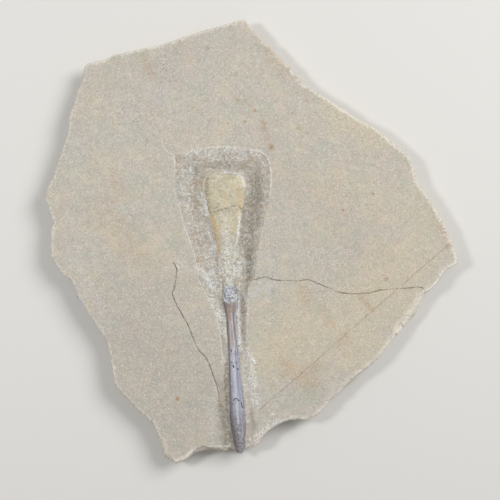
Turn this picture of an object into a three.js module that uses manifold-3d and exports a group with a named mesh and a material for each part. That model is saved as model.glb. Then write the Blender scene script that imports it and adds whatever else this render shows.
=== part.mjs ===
// A fossil belemnite on a hand-broken plate of lithographic limestone: the club-shaped calcite guard
// (rostrum) lies half out of the stone, and the flattened chambered cone (phragmocone) lies above it in
// a trench that was chipped and scraped around it.
// Millimetres, +Z up. The plate lies on its flat underside at z = 0, with the origin at the middle of
// its bounding box. The wide end of the fossil points to +Y and its tip reaches past the -Y edge.
import * as THREE from 'three';
import { mergeVertices } from 'three/addons/utils/BufferGeometryUtils.js';
import Module from 'manifold-3d';

const wasm = await Module();
wasm.setup();

// Plate.
const plateThickness = 15;
const wallStep = 7;
const wallScarSize = 9;
const bedWave = 2.4;
const bedWaveSize = 30;
const flakeScarSize = 4;
const clearance = 0.3;

// The plate's broken edge as seen from above, clockwise from its left upper corner.
const plateOutline = [
  [-115, 124.4], [-102.1, 127.2], [-95.3, 130.8], [-65.6, 136.9], [-29.5, 148.9], [-4.8, 155.3],
  [6.2, 143.2], [7.6, 140.3], [13.4, 136.4], [22, 126], [27.6, 121.3], [28.3, 118.9], [36.1, 110.6],
  [78.5, 83], [87.4, 79], [110.7, 58.9], [117.1, 39.7], [123.7, 30.8], [136.4, 10], [144.7, -12.8],
  [143.9, -15.7], [137.5, -19.3], [134, -22.9], [130.1, -29.8], [120.3, -38.3], [115, -51.2],
  [97.4, -70.5], [90.4, -80.7], [80.2, -89.8], [74.3, -93.5], [69.7, -99.9], [64.4, -102.6],
  [60.6, -107.1], [54.7, -111.2], [53.1, -114.4], [44.9, -122.7], [38.1, -125.3], [32.3, -125.5],
  [26.8, -125.4], [21.7, -126.9], [10.7, -134.9], [5.2, -141.8], [1.8, -144], [-5.2, -146],
  [-15.6, -145.6], [-17.8, -147], [-28.9, -146.2], [-35.8, -147.5], [-41.2, -149.8], [-46.5, -153.7],
  [-53.1, -155.3], [-61.2, -150.8], [-62.5, -146.8], [-62.2, -142.6], [-69.2, -127.3],
  [-79.7, -117.9], [-93, -103.7], [-95.5, -99.7], [-100.2, -73], [-103.4, -66.7], [-118.4, -44.1],
  [-122.4, -39.9], [-124.8, -29.7], [-128.3, -25.1], [-131.2, -24.8], [-140.4, -10.7],
  [-140.1, 9.3], [-138.5, 12.8], [-144.7, 31], [-143.5, 35.7], [-138.8, 44.6], [-128.1, 76.9],
  [-127.7, 86.9], [-124.2, 95.4], [-122.1, 104.8], [-117, 116.2], [-116.3, 121.9],
];

// Height of each ring of the wall, how far the stone is broken back there (a steady part and an
// uneven part), and how much of the beds' wave it follows. Two rings close together are the ledge
// between two beds.
const wallRings = [
  { z: 0, back: 1.6, uneven: 1.6, bed: 1, wavy: 0 },
  { z: 0.9, back: 0.7, uneven: 1.6, bed: 1, wavy: 0 },
  { z: 4.5, back: 0.4, uneven: 1.8, bed: 1, wavy: 1 },
  { z: 5.2, back: 1.0, uneven: 2.2, bed: 2, wavy: 1 },
  { z: 9.6, back: 0.5, uneven: 1.6, bed: 2, wavy: 1 },
  { z: 10.3, back: 0.2, uneven: 1.2, bed: 3, wavy: 1 },
  { z: 14.3, back: 0, uneven: 0, bed: 3, wavy: 0.3 },
  { z: plateThickness, back: 0.5, uneven: 0.7, bed: 4, wavy: 0 },
];

// Places where the top edge flaked away: how far in and how far down, over what reach.
const edgeFlakes = [
  { x: 112, y: -52, reach: 23, inward: 5.2, down: 3.4 },
  { x: -121, y: -38, reach: 10, inward: 2.4, down: 2.6 },
  { x: -61, y: -148, reach: 7, inward: 2.6, down: 2.8 },
  { x: -37, y: -150, reach: 15, inward: 3.2, down: 3 },
  { x: -24, y: -147, reach: 10, inward: 1.8, down: 2.4 },
  { x: 30, y: -126, reach: 6, inward: 1.6, down: 2 },
  { x: 69, y: -99, reach: 9, inward: 2.4, down: 2.6 },
  { x: 14, y: -134, reach: 12, inward: 1.8, down: 2 },
];

// Trench: stations from its lower left end, up the left side, across the wide end and down the right
// side. Each holds its rim in plan and, where the slope runs down to the fossil's head, its foot.
const trenchRim = [
  { x: -33.8, y: -152 }, { x: -31.7, y: -139 }, { x: -27.5, y: -128.6 }, { x: -24, y: -118 },
  { x: -20.9, y: -104.8 }, { x: -20.2, y: -83.8 }, { x: -21.1, y: -71 }, { x: -23.2, y: -58.3 },
  { x: -26.6, y: -49.8 }, { x: -30.8, y: -37.9 }, { x: -33.7, y: -34.4 }, { x: -37.5, y: -25.3 },
  { x: -40.5, y: -13.2 }, { x: -42.1, y: -2.6 }, { x: -45.1, y: 8.1 }, { x: -48.9, y: 18.7 },
  { x: -51.9, y: 30.8 },
  { x: -53.8, y: 43.7, footX: -32.7, footY: 40 },
  { x: -53.4, y: 55.1, footX: -32.4, footY: 43 },
  { x: -54.6, y: 60, footX: -31.4, footY: 45.2 },
  { x: -45.9, y: 61.9, footX: -29.6, footY: 46.6 },
  { x: -38, y: 64.2, footX: -26.4, footY: 47.2 },
  { x: -29, y: 65.2, footX: -23, footY: 47.4 },
  { x: -20, y: 65.8, footX: -19.4, footY: 47.5 },
  { x: -10.2, y: 64.6, footX: -15, footY: 47.4 },
  { x: -1.1, y: 63.5, footX: -11, footY: 47.2 },
  { x: 7.3, y: 62.3, footX: -8.2, footY: 46.4 },
  { x: 11.6, y: 59.4, footX: -6.4, footY: 44.8 },
  { x: 13.7, y: 54.4, footX: -5.4, footY: 42.6 },
  { x: 14.5, y: 46, footX: -4.9, footY: 40 },
  { x: 13.7, y: 36.2 }, { x: 11.4, y: 23.2 }, { x: 8.8, y: 11.1 }, { x: 5.7, y: -4.1 },
  { x: 3.9, y: -17 }, { x: 2, y: -26.8 }, { x: -1.1, y: -30.6 }, { x: -2, y: -41.1 },
  { x: -2.8, y: -54.1 }, { x: -2, y: -71 }, { x: -0.3, y: -83.8 }, { x: 1.4, y: -104.8 },
  { x: 4, y: -121.6 }, { x: 5.4, y: -132 }, { x: 1.9, y: -144 }, { x: 1, y: -152 },
];
const trenchMiddle = 23;

// Against y: the trench floor's depth beside the fossil, and the share of that depth that the steep
// scraped rim takes.
const trenchFloor = [
  { y: -152, depth: 2, rimShare: 0 }, { y: -130, depth: 1.6, rimShare: 0 },
  { y: -105, depth: 1.3, rimShare: 0 }, { y: -72, depth: 1.9, rimShare: 0.03 },
  { y: -50, depth: 3.1, rimShare: 0.06 }, { y: -30, depth: 4, rimShare: 0.13 },
  { y: -5, depth: 4.6, rimShare: 0.14 }, { y: 20, depth: 5, rimShare: 0.15 },
];
const trenchRowLength = 6;
const slopeColumns = 7;
const slopeSpacing = 1.25;
const steepPart = 0.08;
const coreColumns = 2;
const coreOverlap = 2;
const coreHeadY = 36;
const rimLap = 0.8;
const lidHeight = 8;
const leastDepth = 0.3;
const chipDepth = 0.35;
const chipSize = 3.5;

// Fossil: one straight axis in plan through guard and cone, from the tip up to the wide end.
const axisFoot = new THREE.Vector2(-8.0, -147.5);
const axisHead = new THREE.Vector2(-20.4, 47.5);

// Guard: half width against y from the tip upwards, and how deep its axis lies under the plate's top.
const guardGirth = [
  { y: -148.6, half: 1.5 }, { y: -147, half: 2.15 }, { y: -144, half: 3.05 }, { y: -139.8, half: 3.9 },
  { y: -135, half: 4.7 }, { y: -131.5, half: 5.1 }, { y: -127, half: 5.4 }, { y: -121.6, half: 5.5 },
  { y: -113, half: 5.2 }, { y: -105, half: 4.85 }, { y: -96, half: 4.55 }, { y: -88, half: 4.2 },
  { y: -80, half: 3.95 }, { y: -71, half: 3.7 }, { y: -63, half: 3.5 }, { y: -54, half: 3.35 },
  { y: -50, half: 3.75 }, { y: -46, half: 4.4 }, { y: -42.5, half: 4.9 }, { y: -38, half: 5.3 },
  { y: -31.4, half: 5.4 },
];
const guardDepth = [{ y: -148.6, depth: 2.4 }, { y: -60, depth: 2.9 }, { y: -31.4, depth: 3.4 }];
const guardRowLength = 5;
const guardSides = 28;
const guardFlatness = 0.94;
const grooveWidth = 0.2;
const grooveAngle = Math.PI / 2 - 0.45;
const grooveDepth = 0.45;
const grooveEndY = -82;

// Cone: half width to the left and to the right of the axis, depth of its widest level under the top
// of the plate, and its height above that level, against y from its narrow end upwards.
const coneShape = [
  { y: -50, left: 0.8, right: 0.8, depth: 3.3, rise: 0.7 },
  { y: -47, left: 1.9, right: 1.7, depth: 3.3, rise: 1.6 },
  { y: -43, left: 3, right: 2.4, depth: 3.3, rise: 2.4 },
  { y: -39.5, left: 3.9, right: 2.8, depth: 3.3, rise: 3.2 },
  { y: -34, left: 4.2, right: 3.1, depth: 3.5, rise: 3.4 },
  { y: -27, left: 4.5, right: 4, depth: 3.9, rise: 3.1 },
  { y: -16.6, left: 5, right: 5, depth: 4.4, rise: 3.1 },
  { y: -5.4, left: 6.7, right: 7, depth: 4.9, rise: 3.5 },
  { y: 3.7, left: 8.5, right: 9.4, depth: 5.2, rise: 3.9 },
  { y: 13.5, left: 10.2, right: 10.7, depth: 5.4, rise: 4.3 },
  { y: 24.7, left: 11.4, right: 12.6, depth: 5.6, rise: 4.8 },
  { y: 32.4, left: 12.2, right: 14.4, depth: 5.6, rise: 4.9 },
  { y: 38.4, left: 12.5, right: 15, depth: 5.6, rise: 4.8 },
  { y: 42.4, left: 12.4, right: 14.4, depth: 5.6, rise: 4.6 },
  { y: 44.6, left: 11.8, right: 13.2, depth: 5.6, rise: 4.2 },
  { y: 46, left: 10.6, right: 11.6, depth: 5.6, rise: 3.6 },
  { y: 46.8, left: 9, right: 9.8, depth: 5.6, rise: 2.8 },
];
const coneRowLength = 6;
const coneUnderside = 0.85;
const coneSquareness = 0.82;
const coneSides = 28;

// The guard's upper side is broken away over the cone's end.
const breakStartY = -42.6;
const breakEndY = -31;
const breakEndDepth = 3.2;
const breakWidth = 30;

// A smooth repeatable unevenness between 0 and 1, one hill or hollow for each unit of x and y.
function uneven(x, y, seed) {
  const corner = (i, j) => {
    const turned = Math.sin(i * 127.1 + j * 311.7 + seed * 74.7) * 43758.5453;
    return turned - Math.floor(turned);
  };
  const i = Math.floor(x);
  const j = Math.floor(y);
  const partX = THREE.MathUtils.smoothstep(x - i, 0, 1);
  const partY = THREE.MathUtils.smoothstep(y - j, 0, 1);
  const near = THREE.MathUtils.lerp(corner(i, j), corner(i + 1, j), partX);
  const far = THREE.MathUtils.lerp(corner(i, j + 1), corner(i + 1, j + 1), partX);
  return THREE.MathUtils.lerp(near, far, partY);
}

// Reads the value `name` at y from a list of stations with rising y.
function valueAt(stations, name, y) {
  const next = stations.findIndex((station) => station.y > y);
  if (next === 0) return stations[0][name];
  if (next < 0) return stations[stations.length - 1][name];
  const from = stations[next - 1];
  const to = stations[next];
  return THREE.MathUtils.lerp(from[name], to[name], (y - from.y) / (to.y - from.y));
}

// Merges a closed geometry to shared vertices and moves each of them.
function reshape(geometry, move) {
  geometry.deleteAttribute('normal');
  geometry.deleteAttribute('uv');
  const merged = mergeVertices(geometry);
  const position = merged.getAttribute('position');
  const point = new THREE.Vector3();
  for (let i = 0; i < position.count; i += 1) {
    point.fromBufferAttribute(position, i);
    move(point);
    position.setXYZ(i, point.x, point.y, point.z);
  }
  return merged;
}

function toSolid(geometry) {
  return new wasm.Manifold(new wasm.Mesh({
    numProp: 3,
    vertProperties: new Float32Array(geometry.getAttribute('position').array),
    triVerts: new Uint32Array(geometry.getIndex().array),
  }));
}

function toMesh(name, solid, material) {
  const result = solid.getMesh();
  const geometry = new THREE.BufferGeometry();
  geometry.setAttribute('position', new THREE.BufferAttribute(result.vertProperties, 3));
  geometry.setIndex(new THREE.BufferAttribute(result.triVerts, 1));
  geometry.computeVertexNormals();
  const mesh = new THREE.Mesh(geometry, material);
  mesh.name = name;
  return mesh;
}

// The axis of the fossil at y, in plan.
function axisX(y) {
  const part = (y - axisFoot.y) / (axisHead.y - axisFoot.y);
  return THREE.MathUtils.lerp(axisFoot.x, axisHead.x, part);
}

// The broken plate without its trench: beds of stone with a ledge between them, each broken back
// unevenly, and the top edge flaked.
function plateBlock() {
  const shape = new THREE.Shape();
  plateOutline.forEach(([x, y], i) => {
    const [nextX, nextY] = plateOutline[(i + 1) % plateOutline.length];
    const pieces = Math.max(1, Math.round(Math.hypot(nextX - x, nextY - y) / wallStep));
    for (let k = 0; k < pieces; k += 1) {
      const px = THREE.MathUtils.lerp(x, nextX, k / pieces);
      const py = THREE.MathUtils.lerp(y, nextY, k / pieces);
      if (i === 0 && k === 0) shape.moveTo(px, py);
      else shape.lineTo(px, py);
    }
  });
  shape.closePath();
  const block = new THREE.ExtrudeGeometry(shape, {
    depth: plateThickness,
    steps: wallRings.length - 1,
    bevelEnabled: false,
  });
  const ringHeight = plateThickness / (wallRings.length - 1);
  return reshape(block, (point) => {
    const ring = wallRings[Math.round(point.z / ringHeight)];
    const isTop = ring.z === plateThickness;
    const isUpperEdge = ring === wallRings[wallRings.length - 2];
    const { x, y } = point;
    let inward = ring.back + ring.uneven * uneven(x / wallScarSize, y / wallScarSize, ring.bed);
    let down = 0;
    for (const flake of edgeFlakes) {
      const near = 1 - THREE.MathUtils.smoothstep(Math.hypot(x - flake.x, y - flake.y), 0, flake.reach);
      const scar = 0.6 + 0.8 * uneven(x / flakeScarSize, y / flakeScarSize, 9);
      if (isTop) inward += flake.inward * near * scar;
      if (isUpperEdge) down += flake.down * near;
    }
    const shrink = 1 - inward / Math.hypot(x, y);
    const wave = bedWave * (uneven(x / bedWaveSize, y / bedWaveSize, 5) - 0.5) * ring.wavy;
    point.set(x * shrink, y * shrink, ring.z + wave - down);
  });
}

// One side of what was taken out of the plate above the trench floor: steep at the rim, then a long
// slope down to the foot at the fossil's side, and level from there to just past the axis.
function trenchCut(stations, sideName) {
  const sign = sideName === 'left' ? -1 : 1;
  const lines = spread(stations, trenchRowLength);
  const columns = slopeColumns + coreColumns;
  const rows = lines.length - 1;
  const box = new THREE.BoxGeometry(columns, rows, 1, columns, rows, 1);
  return reshape(box, (point) => {
    const column = Math.round(point.x + columns / 2);
    const line = lines[Math.round(point.y + rows / 2)];
    const isLid = point.z > 0;
    const part = Math.min(column / slopeColumns, 1) ** slopeSpacing;
    const { x, y } = trenchPlace(line, sign, column, part);
    const floor = valueAt(trenchFloor, 'depth', y);
    const rimShare = valueAt(trenchFloor, 'rimShare', y);
    const steep = Math.min(part / steepPart, 1);
    const slope = rimShare * steep + (1 - rimShare) * Math.sin((part * Math.PI) / 2);
    const chips = chipDepth * (2 * uneven(x / chipSize, y / chipSize, 11) - 1) * steep;
    const height = column === 0 ? rimLap : -Math.max(floor * slope + chips, leastDepth);
    point.set(x, y, plateThickness + (isLid ? lidHeight : height));
  });
}

// A column's place in plan on one line of the trench, from just outside its rim to past the axis.
function trenchPlace(line, sign, column, part) {
  const footY = line.footY ?? line.y;
  const footX = line.footX ?? axisX(footY) + sign * fossilHalf(footY, sign);
  const coreY = footY > coreHeadY ? THREE.MathUtils.lerp(coreHeadY, footY, 0.5) : footY;
  const rim = new THREE.Vector2(line.x, line.y);
  const foot = new THREE.Vector2(footX, footY);
  const core = new THREE.Vector2(axisX(coreY) - sign * coreOverlap, coreY);
  if (column === 0) return rim.clone().sub(foot).setLength(rimLap).add(rim);
  if (column <= slopeColumns) return rim.lerp(foot, part);
  return foot.lerp(core, (column - slopeColumns) / coreColumns);
}

// Half width of whichever part of the fossil lies at y.
function fossilHalf(y, sign) {
  const isCone = y > guardGirth[guardGirth.length - 1].y;
  return isCone ? valueAt(coneShape, sign < 0 ? 'left' : 'right', y) : valueAt(guardGirth, 'half', y);
}

// Adds in-between stations, so that none lies further than `longest` from the next.
function spread(stations, longest) {
  return stations.flatMap((from, i) => {
    const to = stations[i + 1];
    if (!to) return [from];
    const pieces = Math.ceil(Math.hypot((to.x ?? 0) - (from.x ?? 0), to.y - from.y) / longest);
    return Array.from({ length: pieces }, (_, k) => {
      const between = {};
      for (const name of Object.keys(from)) {
        if (name in to) between[name] = THREE.MathUtils.lerp(from[name], to[name], k / pieces);
      }
      return between;
    });
  });
}

// A rod with its rows at the given stations, each row a ring of `sides` points round the axis, which
// `place` gives from the station and the angle. Both ends reach `extra` further.
function ringedRod(stations, sides, extra, place) {
  const rows = stations.length - 1;
  const rod = new THREE.CylinderGeometry(1, 1, rows, sides, rows);
  return reshape(rod, (point) => {
    const row = Math.round(point.y + rows / 2);
    const reach = row === 0 ? -extra : row === rows ? extra : 0;
    const isMiddle = Math.hypot(point.x, point.z) < 0.5;
    const { x, z } = place(stations[row], Math.atan2(point.z, point.x));
    const y = stations[row].y + reach;
    const axisZ = plateThickness - stations[row].depth;
    if (isMiddle) point.set(axisX(y), y, axisZ);
    else point.set(axisX(y) + x, y, axisZ + z);
  });
}

// The guard: round, club-shaped, with a narrow groove along its stem and a blunt broken tip.
function guardBody(extra) {
  const stations = spread(guardGirth, guardRowLength).map((station) => ({
    ...station,
    depth: valueAt(guardDepth, 'depth', station.y),
  }));
  return ringedRod(stations, guardSides, extra, (station, angle) => {
    const isStem = station.y > grooveEndY && station.y < breakStartY;
    const inGroove = Math.abs(angle - grooveAngle) < grooveWidth / 2;
    const half = station.half + extra - (extra === 0 && isStem && inGroove ? grooveDepth : 0);
    return { x: half * Math.cos(angle), z: half * guardFlatness * Math.sin(angle) };
  });
}

// The cone: crushed to a low dome, square-shouldered at its wide end, tapering to the end that sat in
// the guard.
function coneBody(extra) {
  const swell = (value) => Math.sign(value) * Math.abs(value) ** coneSquareness;
  return ringedRod(spread(coneShape, coneRowLength), coneSides, extra, (station, angle) => {
    const half = (Math.cos(angle) < 0 ? station.left : station.right) + extra;
    const height = (Math.sin(angle) > 0 ? station.rise : station.rise * coneUnderside) + extra;
    return { x: half * swell(Math.cos(angle)), z: height * swell(Math.sin(angle)) };
  });
}

// The stone above a slanting break: from the guard's crest down to its flanks at the wide end.
function guardBreak() {
  const profile = new THREE.Shape();
  profile.moveTo(breakStartY, plateThickness + 9);
  profile.lineTo(breakStartY, plateThickness);
  profile.lineTo(breakEndY, plateThickness - breakEndDepth);
  profile.lineTo(breakEndY, plateThickness + 9);
  const wedge = new THREE.ExtrudeGeometry(profile, { depth: breakWidth, bevelEnabled: false });
  return reshape(wedge, (point) => {
    point.set(axisX(breakStartY) - breakWidth / 2 + point.z, point.x, point.y);
  });
}

const limestone = new THREE.MeshStandardMaterial({ color: 0xc3bbab, roughness: 0.9, metalness: 0 });
const tanCast = new THREE.MeshStandardMaterial({ color: 0xc5bca6, roughness: 0.75, metalness: 0 });
const violetCalcite = new THREE.MeshStandardMaterial({ color: 0x9d9ea6, roughness: 0.4, metalness: 0 });

const cone = toSolid(coneBody(0));
const coneSeat = toSolid(coneBody(clearance));
const guardSeat = toSolid(guardBody(clearance));
const guard = toSolid(guardBody(0)).subtract(coneSeat).subtract(toSolid(guardBreak()));
const trench = toSolid(trenchCut(trenchRim.slice(0, trenchMiddle + 2), 'left'))
  .add(toSolid(trenchCut(trenchRim.slice(trenchMiddle - 1), 'right')));
const plate = toSolid(plateBlock())
  .subtract(trench)
  .subtract(coneSeat)
  .subtract(guardSeat);

const group = new THREE.Group();
group.add(toMesh('slab', plate, limestone));
group.add(toMesh('phragmocone', cone, tanCast));
group.add(toMesh('rostrum', guard, violetCalcite));

export default group;
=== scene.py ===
import math

import bmesh
import bpy
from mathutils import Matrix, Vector, kdtree, noise
from mathutils.bvhtree import BVHTree


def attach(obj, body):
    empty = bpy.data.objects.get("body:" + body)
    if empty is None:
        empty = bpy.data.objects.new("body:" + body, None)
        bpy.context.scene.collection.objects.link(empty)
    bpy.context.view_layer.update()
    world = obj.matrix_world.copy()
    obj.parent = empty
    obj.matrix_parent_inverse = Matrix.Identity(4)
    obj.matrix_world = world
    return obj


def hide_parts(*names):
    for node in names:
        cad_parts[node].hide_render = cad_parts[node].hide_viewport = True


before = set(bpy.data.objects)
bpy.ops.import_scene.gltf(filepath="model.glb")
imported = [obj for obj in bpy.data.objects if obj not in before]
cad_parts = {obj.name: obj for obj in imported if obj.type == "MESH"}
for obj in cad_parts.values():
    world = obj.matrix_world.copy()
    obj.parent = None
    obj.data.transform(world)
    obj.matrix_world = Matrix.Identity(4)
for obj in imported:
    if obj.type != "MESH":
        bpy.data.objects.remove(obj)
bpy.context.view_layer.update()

# Lengths are in mm until a finished piece is scaled to metres. Where a setting is a pair of ends, a
# change starts at the first and is full at the second. A relief is a height, size, seed and octaves.
millimetre = 0.001
slabTop = 15.0  # height of the split bedding face
overhead = 40.0  # a height above the whole object
sameVertex, sliver = 0.002, 0.01  # closer vertices are joined, and thinner triangles are taken out
traceStep = 0.1  # how closely a drawn line is followed
alongFossil = (1, 0.08, 1)  # draws a pattern out along the fossil, which lies nearly along Y
patternDetail = {"cloud": 1.0, "grain": 3.0, "fibres": 3.0}
brush = {
    "dabsInRadius": 3, "leastStep": 0.15, "reach": 1.3,
    "ragged": 0.35, "raggedSize": 0.5, "leastRaggedSize": 0.7, "seed": 4.0,
}


def linear(hexColour):
    parts = [int(hexColour[i:i + 2], 16) / 255 for i in (1, 3, 5)]
    return [p / 12.92 if p <= 0.04045 else ((p + 0.055) / 1.055) ** 2.4 for p in parts] + [1.0]


def ramp(ends, value):  # 0 at the first end and 1 at the second, whichever is larger
    low, high = ends
    part = min(max((value - low) / (high - low), 0.0), 1.0)
    return part * part * (3.0 - 2.0 * part)


def blend(low, high, part):
    return low + (high - low) * part


def relief(co, height, size, seed, octaves=2):  # hills and hollows about `size` across
    place = Vector((co[0] / size + seed, co[1] / size - seed, co[2] / size + 2.0 * seed))
    return height * noise.fractal(place, 1.0, 2.0, octaves, noise_basis="PERLIN_ORIGINAL")


def addNode(tree, kind, inputs=None, **settings):  # an input is a number, a hex colour or a socket
    node = tree.nodes.new("ShaderNode" + kind)
    for name, value in settings.items():
        setattr(node, name, value)
    for name, value in (inputs or {}).items():
        if isinstance(value, bpy.types.NodeSocket):
            tree.links.new(value, node.inputs[name])
        else:
            node.inputs[name].default_value = linear(value) if isinstance(value, str) else value
    return node


def newMaterial(name):  # the material, its node tree and its shader
    material = bpy.data.materials.new(name)
    material.use_nodes = True
    return material, material.node_tree, material.node_tree.nodes["Principled BSDF"]


def perMetre(size):  # a pattern's scale, from its size in mm
    return 1 / (size * millimetre)


def layColours(tree, place, base, layers):
    # A layer is (colour, pattern, size, from, to, strength), and may have a mask and a lift. It covers
    # what lies under it where its pattern runs past `from`. A mask keeps it to a painted place, or with
    # a lift thickens its speckle there. The real grains are finer, and wouldn't show.
    colour = base
    for over, pattern, size, low, high, strength, *where in layers:
        mask, lift = (where + [None, None])[:2]
        held = addNode(tree, "Attribute", attribute_name=mask).outputs["Fac"] if mask else None
        shape = {"Vector": place, "Scale": perMetre(size)}
        if pattern == "dots":
            value = addNode(tree, "TexVoronoi", shape).outputs["Distance"]
        else:
            if pattern == "fibres":
                drawn = addNode(tree, "Mapping", {"Vector": place, "Scale": alongFossil})
                shape["Vector"] = drawn.outputs[0]
            shape.update({"Detail": patternDetail[pattern], "Roughness": 0.6})
            value = addNode(tree, "TexNoise", shape).outputs["Fac"]
        if lift:
            raised = {0: held, 1: lift, 2: value}
            value = addNode(tree, "Math", raised, operation="MULTIPLY_ADD").outputs[0]
        reach = {"Value": value, "From Min": low, "From Max": high, "To Max": strength}
        amount = addNode(tree, "MapRange", reach, interpolation_type="SMOOTHSTEP").outputs[0]
        if mask and not lift:
            amount = addNode(tree, "Math", {0: amount, 1: held}, operation="MULTIPLY").outputs[0]
        colour = addNode(tree, "Mix", {0: amount, 6: colour, 7: over}, data_type="RGBA").outputs[2]
    return colour


def newStone(name, piece):  # a material with a piece's colours and its finest relief
    material, tree, shader = newMaterial(name)
    place = addNode(tree, "TexCoord").outputs["Object"]
    colour = layColours(tree, place, piece["baseColour"], piece["layers"])
    tree.links.new(colour, shader.inputs["Base Color"])
    size, detail, roughness, strength, depth, stretch = piece["grit"]
    drawn = addNode(tree, "Mapping", {"Vector": place, "Scale": stretch}).outputs[0]
    shape = {"Vector": drawn, "Scale": perMetre(size), "Detail": detail, "Roughness": roughness}
    height = addNode(tree, "TexNoise", shape).outputs["Fac"]
    dents = {"Height": height, "Strength": strength, "Distance": depth * millimetre}
    tree.links.new(addNode(tree, "Bump", dents).outputs["Normal"], shader.inputs["Normal"])
    return material, tree, shader


def alongPoints(points, step):  # places every `step` along a line of points
    places = []
    for (x0, y0), (x1, y1) in zip(points, points[1:]):
        count = max(1, round(math.hypot(x1 - x0, y1 - y0) / step))
        places += [(x0 + (x1 - x0) * k / count, y0 + (y1 - y0) * k / count) for k in range(count)]
    return places + [points[-1]]


def plainTree(places):
    tree = kdtree.KDTree(len(places))
    for i, (x, y) in enumerate(places):
        tree.insert((x, y, 0.0), i)
    tree.balance()
    return tree


def mergedCopy(name):  # a bmesh of a CAD node, its loose triangles joined
    bm = bmesh.new()
    bm.from_mesh(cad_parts[name].data)
    bmesh.ops.scale(bm, vec=(1 / millimetre,) * 3, verts=bm.verts)
    bmesh.ops.remove_doubles(bm, verts=bm.verts, dist=sameVertex)
    bmesh.ops.dissolve_degenerate(bm, dist=sliver, edges=bm.edges)
    return bm


def refine(bm, spacingAt, passes=10):  # halves each face's longest edge until it is as short as wanted
    for _ in range(passes):
        tooLong = {}  # keeps its order, so that each run makes the same mesh
        for face in bm.faces:
            edge = max(face.edges, key=lambda e: e.calc_length())
            if edge in tooLong:
                continue
            middle = (edge.verts[0].co + edge.verts[1].co) / 2
            if edge.calc_length() > spacingAt(middle):
                tooLong[edge] = True
        if not tooLong:
            break
        bmesh.ops.subdivide_edges(bm, edges=list(tooLong), cuts=1, use_single_edge=True)
        wide = [f for f in bm.faces if len(f.verts) > 3]
        bmesh.ops.triangulate(bm, faces=wide, quad_method="BEAUTY", ngon_method="BEAUTY")
    dropFolds(bm)


def dropFolds(bm):  # takes out pairs of faces on the same vertices, which a sliver leaves folded up
    crowded = [f for f in bm.faces if any(len(e.link_faces) > 2 for e in f.edges)]
    pairs = {}
    for face in crowded:
        pairs.setdefault(frozenset(face.verts), []).append(face)
    folded = [face for pair in pairs.values() if len(pair) > 1 for face in pair]
    bmesh.ops.delete(bm, geom=folded, context="FACES")


def fineCopy(name, piece):  # of a solid of the fossil, its facets smoothed away
    bm = mergedCopy(name)
    refine(bm, lambda co: piece["spacing"])
    for _ in range(piece["smoothing"]):
        bmesh.ops.smooth_vert(
            bm, verts=bm.verts, factor=0.5, use_axis_x=True, use_axis_y=True, use_axis_z=True)
    return bm


def addMasks(bm, *names):  # new layers drop every vertex held in a variable, so they are all made first
    for name in names:
        bm.verts.layers.float.new(name)


def masksOf(bm, *names):
    return (bm.verts.layers.float[name] for name in names)


def paint(bm, strokes, isPaintable):
    # A mask's strokes are (radius, amount, firmness, *points). Dabs along the points raise the mask,
    # fade from the share of the radius that the firmness gives, and are ragged at the edge.
    verts = [v for v in bm.verts if isPaintable(v)]
    tree = plainTree([(v.co.x, v.co.y) for v in verts])
    for mask, marks in strokes.items():
        layer = bm.verts.layers.float[mask]
        for radius, amount, firmness, *points in marks:
            nearest = {}
            for x, y in alongPoints(points, max(radius / brush["dabsInRadius"], brush["leastStep"])):
                for _, i, far in tree.find_range((x, y, 0.0), radius * brush["reach"]):
                    nearest[i] = min(far, nearest.get(i, far))
            size = max(brush["raggedSize"] * radius, brush["leastRaggedSize"])
            for i, far in nearest.items():
                ragged = far / radius + relief(verts[i].co, brush["ragged"], size, brush["seed"])
                value = amount * (1.0 - ramp((firmness, 1.0), ragged))
                verts[i][layer] = max(verts[i][layer], value)


def wandered(co, piece):  # a place seen from above, moved about so that a crack runs unevenly
    wander = Vector([relief(co, *piece["crackWander"], seed) for seed in piece["wanderSeeds"]] + [0])
    return Vector((co.x, co.y, 0)) + wander


def finishPiece(bm, name, node, material, sharpAngle=50):
    bmesh.ops.scale(bm, vec=(millimetre,) * 3, verts=bm.verts)
    mesh = bpy.data.meshes.new(name)
    bm.to_mesh(mesh)
    bm.free()
    mesh.shade_smooth()
    mesh.set_sharp_from_angle(angle=math.radians(sharpAngle))
    mesh.materials.append(material)
    piece = bpy.data.objects.new(name, mesh)
    bpy.context.scene.collection.objects.link(piece)
    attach(piece, "root")
    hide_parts(node)
    print(name, len(mesh.polygons), "triangles")


# The fossil's surfaces, for the slab to be worked around, and its axis seen from above.
fossilTrees = {name: BVHTree.FromBMesh(mergedCopy(name)) for name in ("phragmocone", "rostrum")}
axisFoot, axisHead = Vector((-8.0, -147.5)), Vector((-20.4, 47.5))
leastCover = 0.6  # a place is under the fossil where it rises above it by more than this


def axisX(y):
    return axisFoot.x + (axisHead.x - axisFoot.x) * (y - axisFoot.y) / (axisHead.y - axisFoot.y)


def distanceToFossil(co):
    return min(tree.find_nearest(co)[3] for tree in fossilTrees.values())


def isUnderFossil(co):
    for tree in fossilTrees.values():
        hit = tree.ray_cast(Vector((co.x, co.y, overhead)), Vector((0, 0, -1)))[0]
        if hit is not None and hit.z > co.z + leastCover:
            return True
    return False


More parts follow.
